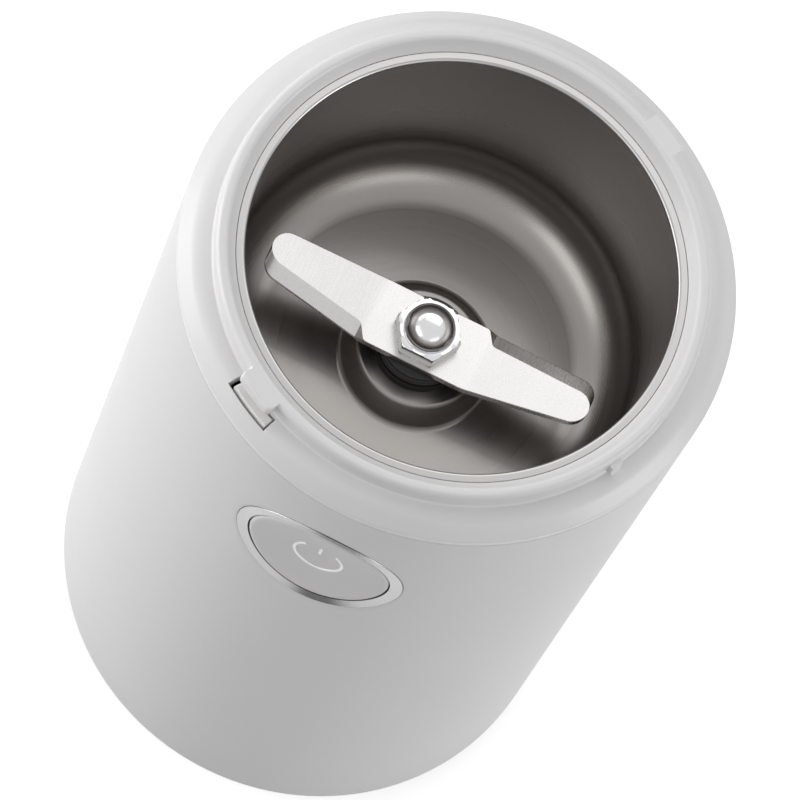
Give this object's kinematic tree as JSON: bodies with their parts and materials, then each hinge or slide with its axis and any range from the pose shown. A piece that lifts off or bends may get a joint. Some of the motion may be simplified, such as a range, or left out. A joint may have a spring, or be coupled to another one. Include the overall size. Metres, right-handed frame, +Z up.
{
  "type": "coffee grinder",
  "caption": "Electric blade coffee grinder shown without its lid: round white body, steel bowl with a spinning blade, push button and a lid interlock.",
  "frame": {"origin": "on the table, under the middle of the round body", "axes": "+Z up along the round body's axis; the push button faces -Y and the cord inlet faces +Y"},
  "size_m": [0.092, 0.0926, 0.156],
  "materials": {
    "white_plastic": "satin white moulding",
    "inner_plastic": "dark grey moulding",
    "black_plastic": "black moulding",
    "red_plastic": "plain",
    "cream_plastic": "plain",
    "board": "phenolic board",
    "bowl_steel": "satin, drawn",
    "blade_steel": "polished",
    "shaft_steel": "ground",
    "screw_steel": "zinc plated",
    "spring_steel": "plain",
    "plated": "bright plated",
    "bezel_metal": "satin plated",
    "foil": "silver foil",
    "core_steel": "stacked electrical steel",
    "copper": "enamelled copper",
    "bracket_metal": "die cast",
    "bronze": "sintered bronze",
    "carbon": "pressed carbon",
    "seal_rubber": "matt",
    "foot_rubber": "matt grey"
  },
  "bodies": {
    "housing": {"body_shell": "white_plastic", "top_ring": "white_plastic", "base_cover": "white_plastic", "motor_chassis": "inner_plastic", "button_guide": "inner_plastic", "cord_clamp": "inner_plastic", "main_switch": "black_plastic", "interlock_switch": "black_plastic", "brush_holders": "black_plastic", "terminal_block": "cream_plastic", "suppression_capacitor": "cream_plastic", "thermal_fuse": "cream_plastic", "circuit_board": "board", "grinding_bowl": "bowl_steel", "chassis_screws": "screw_steel", "switch_screws": "screw_steel", "motor_screws": "screw_steel", "motor_mount_screws": "screw_steel", "base_screws": "screw_steel", "cord_clamp_screws": "screw_steel", "button_spring": "spring_steel", "interlock_spring": "spring_steel", "brush_springs": "spring_steel", "button_bezel": "bezel_metal", "stator_core": "core_steel", "field_coils": "copper", "upper_motor_bracket": "bracket_metal", "lower_motor_bracket": "bracket_metal", "upper_bush": "bronze", "lower_bush": "bronze", "carbon_brushes": "carbon", "bowl_seal": "seal_rubber", "shaft_seal": "seal_rubber", "motor_dampers": "seal_rubber", "rubber_feet": "foot_rubber", "cord_inlet": "foot_rubber"},
    "rotor": {"motor_shaft": "shaft_steel", "rotor_core": "core_steel", "rotor_windings": "copper", "commutator": "copper", "cooling_fan": "black_plastic", "thrust_washers": "shaft_steel", "blade": "blade_steel", "blade_hub": "black_plastic", "blade_nut": "plated"},
    "button": {"button_cap": "white_plastic", "power_symbol": "foil"},
    "main_switch_button": {"main_switch_plunger": "red_plastic"},
    "interlock": {"interlock_rod": "white_plastic"},
    "interlock_switch_button": {"interlock_switch_plunger": "red_plastic"}
  },
  "joints": [
    {"name": "blade_spin", "type": "hinge", "parent": "housing", "child": "rotor", "pos_m": [0, 0, 0.12], "axis": [0, 0, 1], "continuous": true},
    {"name": "button_press", "type": "slide", "parent": "housing", "child": "button", "axis": [0, 1, 0], "range_m": [0, 0.0015], "stiffness_N_per_m": 800, "springref_m": -0.002, "deforming": ["button_spring"]},
    {"name": "main_switch_travel", "type": "slide", "parent": "housing", "child": "main_switch_button", "axis": [0, 1, 0], "range_m": [0, 0.0015]},
    {"name": "interlock_press", "type": "slide", "parent": "housing", "child": "interlock", "axis": [0, 0, -1], "range_m": [0, 0.002], "stiffness_N_per_m": 600, "springref_m": -0.002, "deforming": ["interlock_spring"]},
    {"name": "interlock_switch_travel", "type": "slide", "parent": "housing", "child": "interlock_switch_button", "axis": [0, 0, -1], "range_m": [0, 0.002]}
  ],
  "couplings": [
    {"joint": "main_switch_travel", "follows": "button_press", "ratio": 1},
    {"joint": "interlock_switch_travel", "follows": "interlock_press", "ratio": 1}
  ]
}
